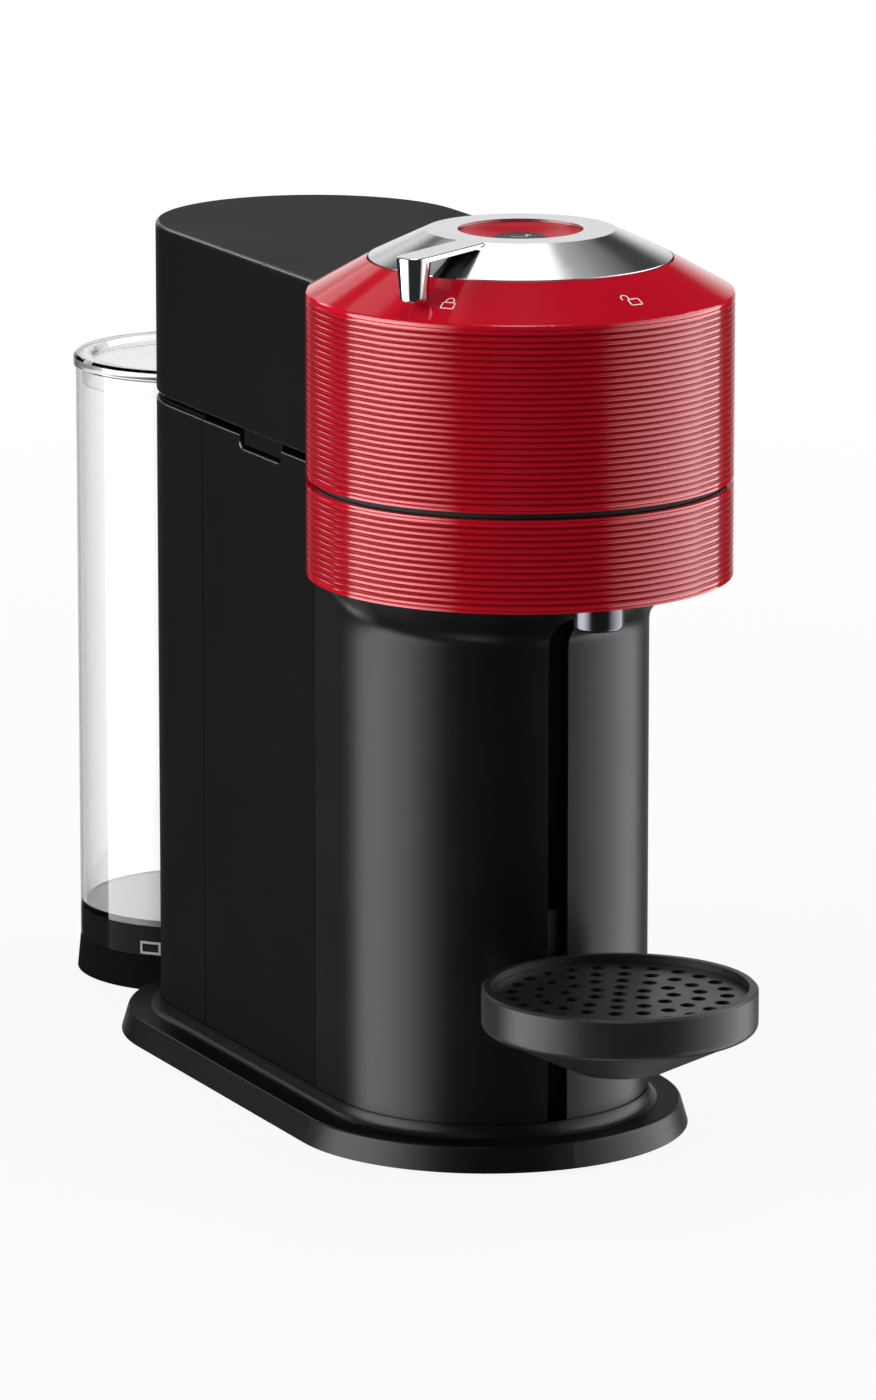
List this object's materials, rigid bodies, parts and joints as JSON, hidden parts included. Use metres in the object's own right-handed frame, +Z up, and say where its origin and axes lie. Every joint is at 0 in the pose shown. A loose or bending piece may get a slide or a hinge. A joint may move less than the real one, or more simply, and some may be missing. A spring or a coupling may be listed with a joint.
{
  "type": "pod coffee machine",
  "caption": "Pod coffee machine with a flared foot, a slotted column, a ribbed red tilting head with a turning lock lever, a sliding cup support and a clear rear water tank.",
  "frame": {"origin": "middle of the overall box, on the table plane under the feet", "axes": "+Z up, -Y towards the front with the head and cup support, +Y towards the water tank"},
  "size_m": [0.142, 0.4312, 0.3116],
  "materials": {
    "body_black": "fine moulded texture, satin black",
    "column_black": "smooth satin black moulding",
    "red_plastic": "ribbed gloss red moulding",
    "polished_chrome": "polished plating",
    "dark_plastic": "plain moulded dark plastic",
    "grey_plastic": "fine-grained dark grey moulding",
    "clear_plastic": "clear moulding",
    "button_black": "gloss black",
    "soft_rubber": "moulded rubber",
    "bare_steel": "turned steel",
    "cast_aluminium": "cast and machined",
    "sheet_steel": "rolled sheet",
    "pale_plastic": "natural moulded plastic",
    "circuit_board": "coated board"
  },
  "bodies": {
    "machine": {"base_shell": "column_black", "base_plate": "dark_plastic", "base_screws": "bare_steel", "rubber_feet": "soft_rubber", "front_column": "column_black", "side_panel_left": "body_black", "side_panel_right": "body_black", "rear_shell": "body_black", "hinge_pin": "bare_steel", "cord_gland": "dark_plastic", "chamber_sleeve": "red_plastic", "chamber_housing": "dark_plastic", "spout": "polished_chrome", "bearing_carrier": "cast_aluminium", "spindle_bearings": "bare_steel", "drive_belt": "soft_rubber", "motor_bracket": "sheet_steel", "drive_motor": "sheet_steel", "slide_channel": "dark_plastic", "chassis": "pale_plastic", "capsule_bin": "dark_plastic", "heater": "cast_aluminium", "pump": "sheet_steel", "pump_mounts": "soft_rubber", "flow_meter": "pale_plastic", "control_board": "circuit_board", "tank_holder": "column_black"},
    "lid": {"hood": "body_black", "head_cap": "red_plastic", "lid_frame": "dark_plastic", "chamber_seal": "soft_rubber", "brew_head": "dark_plastic", "lid_hose": "soft_rubber", "button_dish": "red_plastic", "button_board": "circuit_board"},
    "lever": {"lever_ring": "polished_chrome", "lever_hub": "dark_plastic"},
    "start_button": {"start_button": "button_black"},
    "brew_plate": {"brew_plate": "pale_plastic", "piercing_needles": "bare_steel", "water_needle": "bare_steel"},
    "spinner": {"capsule_holder": "dark_plastic", "spindle": "bare_steel", "spindle_pulley": "pale_plastic"},
    "motor_rotor": {"motor_shaft": "bare_steel", "motor_pulley": "bare_steel"},
    "cup_support": {"cup_support": "grey_plastic", "support_carriage": "dark_plastic"},
    "drip_grid": {"drip_grid": "dark_plastic"},
    "tank": {"tank": "clear_plastic", "tank_valve": "pale_plastic", "valve_gasket": "soft_rubber"},
    "tank_lid": {"tank_lid": "clear_plastic"}
  },
  "joints": [
    {"name": "lid_hinge", "type": "hinge", "parent": "machine", "child": "lid", "pos_m": [0, 0.11895, 0.239], "axis": [-1, 0, 0], "range_deg": [0, 45]},
    {"name": "lever_turn", "type": "hinge", "parent": "lid", "child": "lever", "pos_m": [0, -0.09455, 0.302], "axis": [0, 0, 1], "range_deg": [0, 60]},
    {"name": "start_button_press", "type": "slide", "parent": "lid", "child": "start_button", "axis": [0, 0, -1], "range_m": [0, 0.0018], "stiffness_N_per_m": 500},
    {"name": "holder_spin", "type": "hinge", "parent": "machine", "child": "spinner", "pos_m": [0, -0.09455, 0.19], "axis": [0, 0, 1], "continuous": true},
    {"name": "brew_plate_spin", "type": "hinge", "parent": "lid", "child": "brew_plate", "pos_m": [0, -0.09455, 0.231], "axis": [0, 0, 1], "continuous": true},
    {"name": "motor_spin", "type": "hinge", "parent": "machine", "child": "motor_rotor", "pos_m": [0, -0.03955, 0.14], "axis": [0, 0, 1], "continuous": true},
    {"name": "cup_support_slide", "type": "slide", "parent": "machine", "child": "cup_support", "axis": [0, 0, 1], "range_m": [-0.03, 0.06]},
    {"name": "drip_grid_lift", "type": "slide", "parent": "cup_support", "child": "drip_grid", "axis": [0, 0, 1], "range_m": [0, 0.04]},
    {"name": "tank_lift", "type": "slide", "parent": "machine", "child": "tank", "axis": [0, 0, -1], "range_m": [-0.08, 0]},
    {"name": "tank_lid_lift", "type": "slide", "parent": "tank", "child": "tank_lid", "axis": [0, 0, -1], "range_m": [-0.04, 0]}
  ],
  "couplings": [
    {"joint": "brew_plate_spin", "follows": "holder_spin", "ratio": 1},
    {"joint": "motor_spin", "follows": "holder_spin", "ratio": 1.4914}
  ]
}
